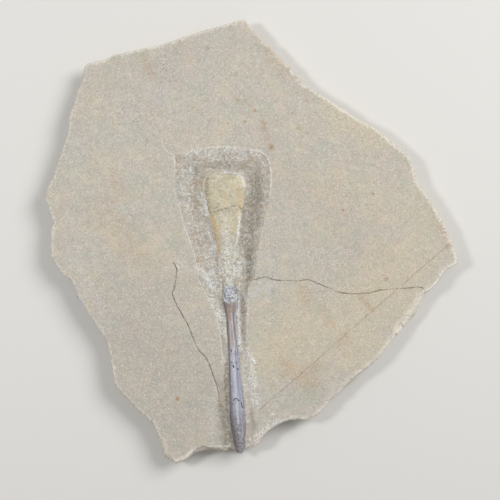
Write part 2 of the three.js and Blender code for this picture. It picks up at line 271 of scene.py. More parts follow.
slab = {
    # The mesh's edges. Round a mark: their length, how far that holds and how fast it grows.
    "topSpacing": 3.2, "trenchSpacing": 0.82, "wallSpacing": 2.0, "undersideSpacing": 9.0,
    "seatSpacing": 3.0, "markStep": 0.4,
    "spacingAt": {"crack": (0.4, 0.5, 0.9), "line": (0.5, 0.7, 0.8), "spot": (0.8, 2.5, 0.6)},
    "gridCellAt": {slabTop: 6.0, 0.0: 14.0}, "gridSnap": 0.2, "levelWithin": 0.01,
    # Where the stone's parts lie: heights, and places along or beside the fossil.
    "underside": 0.5, "topWithin": 0.03, "brinkWithin": 0.05, "sunkenBy": 0.02,
    "paintedAbove": 7, "crackedAbove": 9, "trenchFloorAbove": 6,
    "trenchHalfWidth": 38, "trenchHead": 68, "trenchFoot": -150, "softenedFrom": -140,
    "brokenFoot": -138, "steep": 0.5, "besideCone": (-46, -34), "atHead": (42, 58),
    # The trench's rim, and the stone that climbs to the fossil.
    "guardRim": 3.6, "coneRim": 12.0, "headRim": 16.0, "rimStart": -0.4, "headShallower": 0.5,
    "rimStep": 0.1, "rimStepEnds": (-0.2, 0.9), "footEnds": (0.5, 2.5),
    "filletWidth": 5.0, "coneFillet": 1.8, "guardFillet": 0.5, "contactGap": 0.7, "overlap": 0.7,
    "coneOnlyFrom": -35.0, "headCentre": 38.0,
    # The masks that follow the depth, and the pale brink, which is a painted highlight.
    "scrapedDepth": (0.02, 0.35), "scrapedEnds": (-55, -95), "scrapedDeeper": 1.0, "scrapedFainter": 0.55,
    "wallDepth": (0.1, 1.0), "wallLeast": 0.02, "wallHalf": 0.5, "wallEdge": 0.05,
    "brinkWidth": (0.9, 1.9), "brinkStart": 0.3, "brinkAcross": (0, 110),
    "wallBrink": 0.8, "wallBrinkDepth": (0.5, 5), "spotFirmness": 0.3, "maskLeast": 0.01,
    # Cracks, and the thin joint that healed.
    "crackDepth": 0.45, "crackWidth": 0.5, "crackCore": 0.1, "jointDepth": 0.12, "jointWidth": 0.45,
    "crackWander": (0.35, 2.5), "wanderSeeds": (7, 8), "crackStrength": 0.8,
    "crackWiden": (0.5, 9, 17), "crackFade": (0.5, 13, 18),
    # Reliefs. The pits fade out beside the fossil.
    "bedWaves": [(0.12, 26, 13), (0.06, 7, 14)],
    "pits": [(0.12, 1.7, 1), (0.14, 3.4, 2), (0.12, 1.1, 5, 1)], "pitsFrom": (0.5, 1.6),
    "rings": {"height": 0.1, "spacing": 1.2, "length": 7, "seed": 3},
    "dustLumps": (0.3, 2.2, 6), "soilHollow": 0.1,
    "laminae": {"height": 0.45, "length": 14, "thickness": 0.9, "seed": 9},
    "flakeScars": {"height": 1.1, "length": 7, "thickness": 4, "level": 0.45},
    "wallGrain": (0.25, 1.6, 12), "wallFrom": (0.4, 2),
    "crystals": {"height": 1.6, "size": 3.2, "level": 0.4, "lift": 0.8, "facingUp": (0.3, 0.9)},
    "cracks": [
        [  # from the trench to the right edge
            (1.9, -27.1), (5, -26.1), (9.5, -25), (14.8, -26.8), (20.1, -27.6), (34.1, -27.8),
            (39.7, -26.8), (49.1, -30.6), (58.9, -35), (64.7, -36.4), (72.6, -36.9), (82.5, -36.4),
            (90.1, -34.3), (102.6, -33.4), (116.2, -32.2), (120.4, -32.9),
        ],
        [  # down the left side to the guard
            (-54.5, -15), (-52, -19.1), (-52.9, -27.8), (-54.5, -34.1), (-55.5, -36.9), (-53.1, -42.9),
            (-49.9, -49), (-44.2, -58.8), (-39.8, -70), (-36.8, -76.5), (-32.6, -80.4), (-29.3, -86.3),
            (-27.2, -92.7), (-24.4, -99.9), (-22.9, -106.1), (-22.3, -112.4),
        ],
    ],
    "healedJoint": [
        (137.7, -2.6), (104, -32), (72.2, -59.7), (45.6, -83.6), (8.2, -115.7), (5, -119.2),
    ],
    "rustSpots": [  # x, y, radius, amount
        (-10, 98.9, 2.2, .6), (2.6, 91.2, 1.7, .9), (-4.4, 83.8, 1.2, .7), (32.7, 79.6, 2.6, .6),
        (39, 100.3, 1.6, .7), (38.5, 99.5, 3, .4), (13.6, 66, 2.5, 1), (13.8, 66.4, 4, .4),
        (85.2, 33.1, 1.6, .9), (64.2, 21.9, 1.3, .9), (-114.3, 13.1, 1.7, .8), (-51.7, -110.4, 2.3, .9),
        (94.6, -26.8, 2.4, .5), (29, 90, 1.4, .5), (-6, 96, 1.2, .5), (-30, 136, 2.4, .5),
        (-1, 108, 1.4, .4), (73, 36, 1.2, .4), (-84, 18, 1.6, .4), (18, 84, 1.2, .4),
    ],
    "roughness": 0.88, "specular": 0.3,
    "grit": (1.0, 4.0, 0.7, 0.5, 0.6, (1, 1, 1)),  # size, detail, roughness, strength, depth, stretch
    "baseColour": "#b8b1a5",
}
slab["layers"] = [
    ("#b2aeaa", "cloud", 44, .42, .66, .35),
    ("#c2b69f", "cloud", 26, .48, .7, .4),
    ("#b1b2a4", "cloud", 20, .5, .7, .5),
    ("#c4b5ac", "cloud", 12, .5, .72, .5),
    ("#ada89d", "cloud", 9, .52, .72, .5),
    ("#c8c0ae", "cloud", 7.5, .53, .72, .5),
    ("#c9bfa6", "cloud", 13, .54, .72, .4),
    ("#adb2a0", "cloud", 11, .5, .7, .35),
    ("#c6afa6", "cloud", 8, .54, .72, .29),
    ("#b3aea4", "cloud", 4.2, .5, .7, .45),
    ("#c8c1b4", "cloud", 3.4, .53, .7, .4),
    ("#d0bf99", "cloud", 30, 0, .01, .38, "warm"),
    # painted shade: the left of the face greyer and darker, away from the light
    ("#a39a94", "cloud", 30, 0, .01, .34, "dull"),
    ("#c2c5c8", "grain", 2.4, .4, .6, .6, "bleach"),
    ("#dfd9ce", "grain", 1.05, .52, .68, .52),
    ("#928c82", "grain", 1.1, .48, .32, .5),
    ("#cfc8bd", "grain", 2.1, .52, .68, .3),
    ("#6f6151", "dots", 2.6, .26, .14, .7, "specks"),
    ("#b4aca0", "cloud", 3, 0, .01, 1, "scraped"),
    ("#b2a083", "cloud", 7.5, .48, .68, .6, "scraped"),
    ("#a3a8a6", "cloud", 9, .48, .68, .6, "scraped"),
    ("#968d7f", "cloud", 4.4, .5, .66, .5, "scraped"),
    ("#cfd0cc", "cloud", 3.6, .53, .68, .5, "scraped"),
    ("#b7aaa1", "cloud", 5.5, .5, .7, .5, "scraped"),
    ("#8f8779", "grain", 2.2, .49, .34, .5, "scraped"),
    ("#79736a", "grain", 1.3, .48, .36, .35, "scraped"),
    # painted shade and earth: these layers darken brown earth, the guard's shadow to its left and the
    # trench's shaded right side
    ("#7f7768", "grain", 2.3, .7, .4, .85, "soil"),
    ("#5f5c55", "grain", 1.4, .62, .38, .36, "soil"),
    ("#dcd8ce", "grain", 1.3, .52, .68, .42, "scraped"),
    ("#bfb8aa", "grain", 2.8, .3, .5, 1, "wall"),
    ("#d6d0c4", "grain", 2.6, .46, .64, .75, "wall"),
    ("#9a9285", "grain", 1.6, .44, .34, .5, "wall"),
    # painted highlight: pale along the brink of the split face, wider to the lower right, and down the
    # wall's top
    ("#eae4d8", "grain", 1.6, .3, .6, .66, "edge"),
    ("#a7825a", "grain", 2.6, .32, .58, 1, "rust"),
    ("#c8cac9", "cloud", 2.2, .38, .62, .55, "chalk"),
    ("#e4e3dd", "grain", 1.2, .6, .82, .75, "chalk", .21),
    ("#e6e5e0", "grain", 1, .34, .58, .95, "line"),
    ("#e6dfd0", "grain", 2.4, .3, .56, .9, "fresh"),
    ("#9a8474", "grain", 4.2, .55, .64, .8, "fresh"),
    ("#cfcbd6", "grain", 1.6, .3, .5, .85, "lilac"),
    ("#85735c", "grain", 6, .3, .55, .6, "joint"),
    ("#5f5342", "grain", 8, .25, .55, .9, "crack"),
]
slab["strokes"] = {
    "rust": [  # stains of iron
        (1.6, .75, 0, (8.2, 83), (11.7, 70.9)), (2.2, .4, 0, (-4, 99), (2.6, 91.2)),
        (5, .3, 0, (-75, 129), (-68, 115)), (4, .4, 0, (76, -39), (85, -48)),
        (6, .4, 0, (62.8, -71.6), (66, -66)), (3.4, .5, 0, (139.2, -2), (137.6, -3.6)),
        (12, .28, 0, (25, -88), (34, -94), (43, -100)), (7, .28, 0, (36, -95), (46, -86)),
        (5, .3, 0, (36, -32), (38, -43)), (6, .25, 0, (50, -48), (57, -60)),
        (8, .25, 0, (4, 148), (14, 132), (22, 120)), (6, .25, 0, (109, 62), (125, 30), (139, -1)),
        (7, .22, 0, (-94, 45), (-93, 30)), (3, .35, 0, (3, 150), (12, 138), (22, 126), (34, 112)),
        (18, .16, 0, (-104, 24), (-92, 8), (-80, -8)), (6, .15, 0, (-70, 54), (-66, 50)),
        (30, .08, 0, (10, 60), (60, 20), (80, -10)), (3.5, .25, 0, (0, -117), (.6, -129)),
        (5, .18, 0, (-22, 48), (-40, 40)), (4, .2, 0, (-34, 55), (-30, 50)),
        (4, .2, 0, (-38, 0), (-35, -10)),
    ],
    "bleach": [  # bare pale patches
        (4.5, .5, 0, (-122, 69), (-121, 66)), (24, .3, 0, (-60, 110), (-90, 90)),
        (10, .5, 0, (-126, -10), (-118, -28), (-106, -46), (-98, -60)), (9, .3, 0, (12, -10), (10, -38)),
        (7, .8, 0, (2, -38), (7, -32), (17, -30)),
    ],
    "warm": [  # yellower areas
        (42, .9, 0, (20, -70), (60, -62), (90, -40), (105, -20)), (30, .6, 0, (110, 20), (125, -8)),
        (20, .8, 0, (55, 95), (85, 72)), (30, .45, 0, (60, 40), (95, 25)),
        (24, .3, 0, (-105, 12), (-85, -6), (-62, -22)),
    ],
    "dull": [  # painted shade: greyer and darker towards the left, away from the light
        (55, .9, 0, (-85, -55), (-60, -85), (-45, -115)), (40, .5, 0, (-85, 105), (-55, 125)),
    ],
    "specks": [
        (12, .9, 0, (-62, 118), (-52, 108)), (14, .8, 0, (-90, 92), (-74, 84)),
        (9, .8, 0, (-70, 68), (-60, 76)), (16, .35, 0, (-100, -90), (-60, -120)),
        (8, .6, 0, (-40, 92), (-30, 84)), (22, .3, 0, (60, 40), (90, 0)),
    ],
    "line": [  # white scratches of the tools
        (.7, .75, .3, (-54.4, 61), (-53.4, 55)), (.6, .4, .3, (-53.4, 55), (-53.8, 47)),
        (.6, .5, .3, (-51.4, 28), (-49.4, 20), (-46.9, 10)),
        (.6, .75, .3, (-46.9, 10), (-43.6, 2), (-42.4, -2)),
        (.55, .45, .3, (-42.4, -2), (-39.9, -10), (-37.9, -20)),
        (.5, .6, .3, (-62.4, 71.9), (-62.2, 67), (-57.9, 61.9), (-55.4, 60.9)),
        (.8, .35, .3, (-30, 65.6), (-15, 66.2), (-1, 64.9)),
        (.8, .65, .3, (-1, 64.6), (6.1, 62.9), (10.6, 59.9), (13.2, 54), (14, 46), (13.8, 39)),
        (.7, .4, .3, (13.8, 39), (12.6, 30)), (.5, .3, .3, (11, 22), (8, 8), (5, -6)),
        (.55, .6, .3, (-36.8, -27.1), (-31.5, -37.6), (-27.2, -44.6), (-23.9, -54), (-22, -63)),
        (.5, .5, .3, (-22, -63), (-20.6, -76), (-20.2, -86)),
        (.6, .5, .3, (-1.8, -32), (-2.4, -44), (-2.6, -60), (-3.6, -76)),
        (1.1, 1, .5, (1.2, -82.3), (2.6, -84.8)), (1.2, 1, .4, (15.2, -120.6), (15.5, -121)),
        (1.5, .8, .3, (144, -14.6), (135.6, -21), (131.2, -27.6), (124.6, -34.2), (120.2, -38)),
        (.9, .6, .2, (-3, -143.2), (5, -138), (10.4, -133), (18, -126.8), (28, -123.4)),
        (.8, .5, .2, (-52, -153), (-41.6, -147.4), (-27, -143.2), (-15, -143.8)),
        (.9, .6, .3, (-33.6, 36), (-33, 43.6), (-29.6, 47.2), (-17, 48.2), (-11, 47.6)),
        (1.2, .9, .4, (-11, 47.6), (-6, 44.6), (-4.2, 39)), (1.1, .8, .2, (-52.2, -17), (-50.8, -18.6)),
    ],
    "chalk": [  # pale powder of bruised stone
        (3.4, .62, 0, (-36, 55), (-28, 57.6), (-16, 58.2), (-3, 57)),
        (1.8, .35, 0, (-32, 50.5), (-27, 52), (-18, 52.4), (-9, 51.6)), (2.2, .8, 0, (-34, 59), (-26, 61)),
        (2.4, .7, 0, (-43, 53), (-42, 44)), (9, .42, 0, (-46, 56), (-45, 36), (-42, 16), (-38, -6)),
        (4, .38, 0, (-48, 60), (-49, 42), (-46, 22), (-41, 4)),
        (5, .68, 0, (-46, 61), (-36, 63), (-16, 64), (4, 61)),
        (2, .5, 0, (-30, 57), (-18, 57.4), (-6, 56.4)), (3, .5, 0, (6, 58), (10, 52)),
        (4, .5, 0, (8, 52), (9, 40)), (3.6, .62, 0, (-2, 55.5), (2.6, 51)), (2, .4, 0, (4.5, 20), (7, 14)),
        (2.6, .4, 0, (-2.4, 8), (-3.6, -3)), (2.6, 1, .2, (-34.6, 34), (-32.6, 26), (-31.4, 19)),
        (2.2, .85, .1, (-31, 12), (-28.3, 2), (-26, -7)), (3.4, .7, 0, (-28, -6), (-23, -16), (-21, -26)),
        (1.5, .5, 0, (-8.2, 12), (-8.8, 0), (-8.6, -10)), (4, .85, 0, (-9, -14), (-8.6, -24)),
        (4, .4, 0, (-6.6, -6), (-6, -18)), (5.5, .85, .1, (-37, -18), (-32, -26), (-26, -33)),
        (6, .55, 0, (-33, -8), (-27, -20), (-23, -32)), (5, .8, .1, (-29, -38), (-25, -46), (-21, -54)),
        (2.8, .75, .1, (-21, -55), (-19.4, -64)), (2.4, .45, 0, (-19.4, -64), (-18.4, -84)),
        (1.5, 1, .3, (-19.2, -46), (-18, -56), (-17.7, -68)),
        (1.5, 1, .4, (-9, -31), (-9, -42), (-9, -54), (-8.4, -66), (-7.2, -76)),
        (2.6, .5, 0, (-4.4, -34), (-4, -50), (-4.4, -70)),
        (4.6, .95, .1, (-2.6, -76), (-1.6, -88), (-.6, -100), (1.4, -114)),
        (7, .72, 0, (0, -84), (1.6, -98), (3.6, -114)),
        (3, .6, 0, (-5.4, -86), (-4.4, -100), (-3.2, -112), (-2.2, -126)),
        (2.6, .6, 0, (1.6, -118), (2.6, -126)), (4, .5, 0, (-50, -14), (-46, -18)),
        (2.6, .5, 0, (-26.5, -95), (-23.6, -106)),
        (2.6, .85, .1, (-1, -139.4), (5, -135), (11, -130), (18, -125)),
        (6, .38, 0, (-27, -112), (-27, -128), (-26, -142)), (4, .3, 0, (7, -28), (12, -31)),
    ],
    "soil": [  # dark earth left in the trench, and painted shade: the guard's shadow to its left and the trench's shaded right side
        (5, .45, 0, (-40, 48), (-40, 30), (-38, 16)), (6, .3, 0, (-38, 10), (-32, -12)),
        (8, .55, 0, (1.5, 42), (1.5, 34), (0, 22)), (7, .5, 0, (4, 44), (4, 30), (2.5, 14)),
        (3.4, .7, 0, (-4.6, 26), (-5.6, 12), (-6, 0)), (7, .6, 0, (0, 20), (-2, 6), (-2.4, -8)),
        (4.5, .95, 0, (-1.2, -6), (-1.6, -24)), (2.8, .9, .1, (-1.2, -20), (-2.6, -28)),
        (2, .6, 0, (-2, -30), (-4.2, -36)), (1.7, .6, 0, (-6.2, -36), (-6.2, -50), (-5.6, -68)),
        (2.2, .5, 0, (-20.6, -62), (-18.4, -80)), (1.8, .75, 0, (-17.6, -80), (-16, -96)),
        (3, 1, .1, (-17.8, -94), (-17.4, -108), (-16.8, -122), (-15.4, -132)),
        (1.7, 1, .4, (-17.4, -86), (-17.1, -100), (-16.8, -113)),
        (2, 1, .2, (-15.4, -131), (-14.2, -139), (-13.4, -145.5)), (5, .6, 0, (-21, -100), (-20, -124)),
        (5.5, .85, 0, (-21, -116), (-19, -126), (-18, -134), (-16.5, -144)),
        (1.6, .2, 0, (1.4, -120), (2.4, -130), (-1, -138)),
    ],
}
slab["wallStrokes"] = {  # where the upper edge broke
    "fresh": [  # crystalline stone
        (6, 1, .3, (99, -69), (104, -60), (109, -51), (115, -43), (120, -38)),
    ],
    "lilac": [  # a pale lilac skin
        (3.4, 1, .2, (-123.5, -32), (-120.5, -40), (-118, -45)),
    ],
}


def detailSpacing():  # how fine the slab's mesh has to be at a place, from what lies there
    def treeOf(lines):
        return plainTree([place for line in lines for place in alongPoints(line, slab["markStep"])])

    trees = {
        "crack": treeOf(slab["cracks"] + [slab["healedJoint"]]),
        "line": treeOf([points for _, _, _, *points in slab["strokes"]["line"]]),
        "spot": treeOf([[(x, y)] for x, y, _, _ in slab["rustSpots"]]),
    }

    def spacingAt(co):
        if co.z < slab["underside"]:
            return slab["undersideSpacing"]
        isTop = co.z > slabTop - slab["topWithin"]
        isTrench = not isTop and isBesideAxis(co) and slab["trenchFoot"] < co.y < slab["trenchHead"]
        if isTrench and isUnderFossil(co):
            return slab["seatSpacing"]
        if not isTop and not isTrench:
            return slab["wallSpacing"]
        spacing = slab["topSpacing"] if isTop else slab["trenchSpacing"]
        for mark, (finest, within, growth) in slab["spacingAt"].items():
            far = trees[mark].find((co.x, co.y, 0.0))[2]
            spacing = min(spacing, finest + growth * max(far - within, 0.0))
        return spacing

    return spacingAt


def levelFaces(bm, height):
    return [f for f in bm.faces if all(abs(v.co.z - height) < slab["levelWithin"] for v in f.verts)]


def gridTheFlats(bm):  # evens out the two flat faces, whose triangles run from edge to edge
    for height, cell in slab["gridCellAt"].items():
        flat = set(levelFaces(bm, height))
        inner = [e for e in bm.edges if all(f in flat for f in e.link_faces)]
        bmesh.ops.dissolve_edges(bm, edges=inner, use_verts=False)
        for axis in (0, 1):
            reach = max(abs(v.co[axis]) for v in bm.verts)
            cuts = int(2 * reach / cell)
            for k in range(1, cuts):
                faces = levelFaces(bm, height)
                flat = set(faces)
                edges = [e for e in bm.edges if any(f in flat for f in e.link_faces)]
                verts = [v for v in bm.verts if any(f in flat for f in v.link_faces)]
                place = [0.0, 0.0, height]
                place[axis] = -reach + 2 * reach * k / cuts
                normal = [1.0 if i == axis else 0.0 for i in range(3)]
                bmesh.ops.bisect_plane(
                    bm, geom=faces + edges + verts, dist=slab["gridSnap"],
                    plane_co=place, plane_no=normal)
    wide = [f for f in bm.faces if len(f.verts) > 3]
    bmesh.ops.triangulate(bm, faces=wide, quad_method="SHORT_EDGE", ngon_method="EAR_CLIP")
    bmesh.ops.dissolve_degenerate(bm, dist=sliver, edges=bm.edges)


def isBesideAxis(co):
    return abs(co.x - axisX(co.y)) < slab["trenchHalfWidth"]


def isInTrench(co):
    return isBesideAxis(co) and co.y < slab["trenchHead"] and co.z > slab["trenchFloorAbove"]


def closeUp(v):  # brings a vertex of the stone's brink level into the fossil's side
    fossil = ("phragmocone",) if v.co.y > slab["coneOnlyFrom"] else ("phragmocone", "rostrum")
    y = min(v.co.y, slab["headCentre"])
    aim = (Vector((axisX(y), y, v.co.z)) - v.co).normalized()
    hits = [fossilTrees[name].ray_cast(v.co, aim) for name in fossil]
    near = [hit for hit in hits if hit[0] is not None]
    if near:
        v.co = min(near, key=lambda hit: hit[3])[0] + slab["overlap"] * aim


def softenRim(bm):  # the scraper left no sharp rim, and some stone against the fossil's side
    level = slabTop - slab["sunkenBy"]
    sunken = [v for v in bm.verts if isInTrench(v.co) and v.co.z < level]
    brink = {e.other_vert(v) for v in sunken for e in v.link_edges if e.other_vert(v).co.z > level}
    rimTree = plainTree([(v.co.x, v.co.y) for v in brink])
    for v in sunken:
        if isUnderFossil(v.co) or v.co.y < slab["softenedFrom"]:
            continue
        gap = distanceToFossil(v.co)
        toRim = rimTree.find((v.co.x, v.co.y, 0))[2]
        besideCone, atHead = ramp(slab["besideCone"], v.co.y), ramp(slab["atHead"], v.co.y)
        width = blend(blend(slab["guardRim"], slab["coneRim"], besideCone), slab["headRim"], atHead)
        slope, step = ramp((slab["rimStart"], width), toRim), ramp(slab["rimStepEnds"], toRim)
        softened = blend(slope, step, slab["rimStep"]) * (1 - slab["headShallower"] * atHead)
        softened = max(softened, 1 - ramp(slab["footEnds"], gap))
        fillet = blend(slab["guardFillet"], slab["coneFillet"], besideCone)
        v.co.z = slabTop - (slabTop - v.co.z) * softened
        v.co.z += fillet * (1 - ramp((0, slab["filletWidth"]), gap))
        if gap < slab["contactGap"]:
            closeUp(v)


def markStone(bm):  # scraped: worked with tools; wall: the broken edge; edge: the split face's brink, painted pale as a highlight
    scraped, wall, edge = masksOf(bm, "scraped", "wall", "edge")
    for v in bm.verts:
        sunk = slabTop - v.co.z
        isBroken = v.co.y < slab["brokenFoot"] and v.normal.z < slab["steep"]
        if isInTrench(v.co) and not isBroken:
            faint = ramp(slab["scrapedEnds"], v.co.y)  # the scribing fades out along the guard
            low, high = slab["scrapedDepth"]
            worked = ramp((low, high + slab["scrapedDeeper"] * faint), sunk)
            v[scraped] = worked * (1 - slab["scrapedFainter"] * faint)
        else:
            v[wall] = ramp(slab["wallDepth"], sunk)
    top = [v for v in bm.verts if v.co.z > slabTop - slab["brinkWithin"]]
    brink = [v for v in top if any(e.other_vert(v)[wall] > slab["wallLeast"] for e in v.link_edges)]
    brinkTree = plainTree([(v.co.x, v.co.y) for v in brink])
    narrowest, wider = slab["brinkWidth"]
    for v in top:
        width = narrowest + wider * ramp(slab["brinkAcross"], v.co.x - v.co.y)
        v[edge] = 1 - ramp((slab["brinkStart"], width), brinkTree.find((v.co.x, v.co.y, 0))[2])
    for v in bm.verts:
        if v[wall] > slab["wallLeast"]:
            v[edge] = slab["wallBrink"] * (1 - ramp(slab["wallBrinkDepth"], slabTop - v.co.z))


def paintSlab(bm):
    wall = bm.verts.layers.float["wall"]

    def isTop(v):
        return v.co.z > slab["paintedAbove"] and v[wall] < slab["wallHalf"]

    def isWall(v):
        return v.co.z > slab["paintedAbove"] and v[wall] > slab["wallEdge"]

    spots = [
        (radius, amount, slab["spotFirmness"], (x, y), (x + traceStep, y))
        for x, y, radius, amount in slab["rustSpots"]]
    paint(bm, slab["strokes"], isTop)
    paint(bm, {"rust": spots}, isTop)
    paint(bm, slab["wallStrokes"], isWall)


def cutCracks(bm):
    wall, crack, joint = masksOf(bm, "wall", "crack", "joint")
    crackTree = plainTree([place for line in slab["cracks"] for place in alongPoints(line, traceStep)])
    jointTree = plainTree(alongPoints(slab["healedJoint"], traceStep))
    for v in bm.verts:
        if v.co.z < slab["crackedAbove"] or v[wall] > slab["wallHalf"]:
            continue
        place = wandered(v.co, slab)
        width = slab["crackWidth"] * (1 + relief(v.co, *slab["crackWiden"]))
        strength = slab["crackStrength"] + relief(v.co, *slab["crackFade"])
        v[crack] = (1 - ramp((slab["crackCore"], width), crackTree.find(place)[2])) * strength
        v[joint] = 1 - ramp((slab["crackCore"], slab["jointWidth"]), jointTree.find(place)[2])
        v.co.z -= slab["crackDepth"] * v[crack] + slab["jointDepth"] * v[joint]


def floorRelief(co, chalk, soil):  # pits, low rings round the fossil and lumps of dust
    gap = distanceToFossil(co)
    rings = slab["rings"]
    ringed = (gap * rings["spacing"], (co.x + co.y) / rings["length"], 0)
    height, size, seed = slab["dustLumps"]
    lumps = height * chalk * abs(relief(co, 1.0, size, seed)) - slab["soilHollow"] * soil
    pits = sum(relief(co, *pit) for pit in slab["pits"])
    return pits + relief(ringed, rings["height"], 1.0, rings["seed"]) + lumps, ramp(slab["pitsFrom"], gap)


def wallRelief(co):  # thin beds, the scars of flakes, and grain
    beds, scars = slab["laminae"], slab["flakeScars"]
    bedded = (co.x / beds["length"], co.y / beds["length"], co.z / beds["thickness"])
    chipped = Vector((co.x / scars["length"], co.y / scars["length"], co.z / scars["thickness"]))
    flakes = (noise.voronoi(chipped)[0][0] - scars["level"]) * scars["height"]
    return relief(bedded, beds["height"], 1.0, beds["seed"]) + flakes + relief(co, *slab["wallGrain"])


def carveSlab(bm):
    scraped, wall, chalk, soil, fresh = masksOf(bm, "scraped", "wall", "chalk", "soil", "fresh")
    crystals = slab["crystals"]
    moves = []
    for v in bm.verts:
        co = v.co
        if co.z < slab["wallFrom"][0]:
            continue
        if v[scraped] > slab["maskLeast"]:
            height, share = floorRelief(co, v[chalk], v[soil])
            moves.append((v, Vector((0, 0, height * v[scraped] * share))))
        elif v[wall] > slab["maskLeast"]:
            outward = Vector((v.normal.x, v.normal.y, 0))
            grown = noise.voronoi(co / crystals["size"])[0][0] - crystals["level"]
            grown = v[fresh] * grown * crystals["height"]
            raised = Vector((0, 0, crystals["lift"])) * grown * ramp(crystals["facingUp"], v.normal.z)
            pushed = outward * wallRelief(co) * v[wall] * ramp(slab["wallFrom"], co.z)
            moves.append((v, raised + pushed))
        else:
            moves.append((v, Vector((0, 0, sum(relief(co, *wave) for wave in slab["bedWaves"])))))
    for v, move in moves:
        v.co += move


def buildSlab():
    bm = mergedCopy("slab")
    gridTheFlats(bm)
    refine(bm, detailSpacing())
    bm.normal_update()
    addMasks(bm, "scraped", "wall", "edge", "crack", "joint", *slab["strokes"], *slab["wallStrokes"])
    markStone(bm)
    softenRim(bm)
    bm.normal_update()
    paintSlab(bm)
    cutCracks(bm)
    carveSlab(bm)
    finishPiece(bm, "slabStone", "slab", splitLimestone())


def splitLimestone():
    # Fine-grained lithographic limestone, split along a bed: a dull beige face, faintly mottled and
    # stained by iron, and paler, speckled and chalky where a scribe chipped it. Its grit is too fine to
    # show, so it is drawn as 1 mm.
    material, _, shader = newStone("lithographic limestone, split and scribed", slab)
    shader.inputs["Roughness"].default_value = slab["roughness"]
    shader.inputs["Specular IOR Level"].default_value = slab["specular"]
    return material


cone = {
    "spacing": 0.62, "smoothing": 7,
    # Fuller at the sides than the solid, for the stone climbs them.
    "widen": (0.13, 0.32), "widenEnds": (2, -14), "widenFrom": (-29, -22),
    "lengthen": 0.4, "lengthenEnds": (30, 47), "plugSwell": 0.9, "swellEnds": (-26, -31),
    "crackWidth": 0.8, "crackDepth": 0.3, "crackCore": 0.1, "crackWiden": (0.6, 4, 27),
    "crackWander": (0.5, 2.0), "wanderSeeds": (21, 22),
    "lowerStep": 0.2, "lowerEnds": (0.6, -0.6), "lowerPits": (0.2, 1.7, 25), "dustLumps": (0.3, 2.4, 26),
    "plugEnds": (-29.5, -32.5), "plugEdge": (3, 3.5, 28),
    "chalkyEnds": (14, -6), "chalkyEdge": (5, 5, 29), "waves": [(0.12, 7, 23), (0.05, 2.6, 24)],
    "crystals": {"height": 0.4, "size": 1.5, "level": 0.4},
    "crack": [
        (-30.4, 20.1), (-27, 20.2), (-24, 21), (-20, 22.4), (-16.3, 23.3), (-13, 24.4), (-10.2, 25),
        (-6.6, 22.8),
    ],
    "roughness": 0.72, "sparRoughness": 0.42, "specular": 0.35,
    "grit": (0.9091, 3.0, 0.7, 0.35, 0.5, (1, 1, 1)),
    "baseColour": "#bab29a",
}
cone["layers"] = [
    ("#c4ba9f", "cloud", 11, .42, .62, .8),
    ("#a8a288", "cloud", 6.2, .5, .66, .65),
    ("#c9b48e", "cloud", 4.6, .54, .7, .5),
    ("#cfc8b8", "grain", 3, .5, .64, .6),
    ("#998e76", "grain", 1.3, .46, .34, .5),
    ("#d9d3c4", "grain", 1.2, .56, .66, .6),
    ("#b3b0a6", "grain", 3.4, .34, .6, .8, "chalky"),
    ("#a3a59a", "grain", 2.8, .48, .64, .7, "chalky"),
    ("#84796a", "grain", 1.5, .47, .36, .8, "chalky"),
    ("#bd9a68", "grain", 2.2, .28, .56, .8, "rust"),
    # painted shade on the cone's left side, turned from the light, as well as dark marks
    ("#7e7055", "grain", 1.3, .62, .38, .8, "dark"),
    ("#c8cac9", "cloud", 2.2, .38, .62, .75, "chalk"),
    ("#e4e3dd", "grain", 1.1, .6, .82, .75, "chalk", .22),
    ("#e0ddd4", "grain", 1, .32, .56, .9, "line"),
    ("#a9abaf", "grain", 3, 0, .01, 1, "spar"),
    ("#d6d8dd", "grain", 1.3, .5, .6, .9, "spar"),
    ("#6c6d71", "grain", 1.2, .45, .37, .85, "spar"),
    ("#46464a", "grain", 2, .7, .4, .9, "sparCrack"),
    ("#766750", "grain", 2.5, .62, .42, .75, "crack"),
]
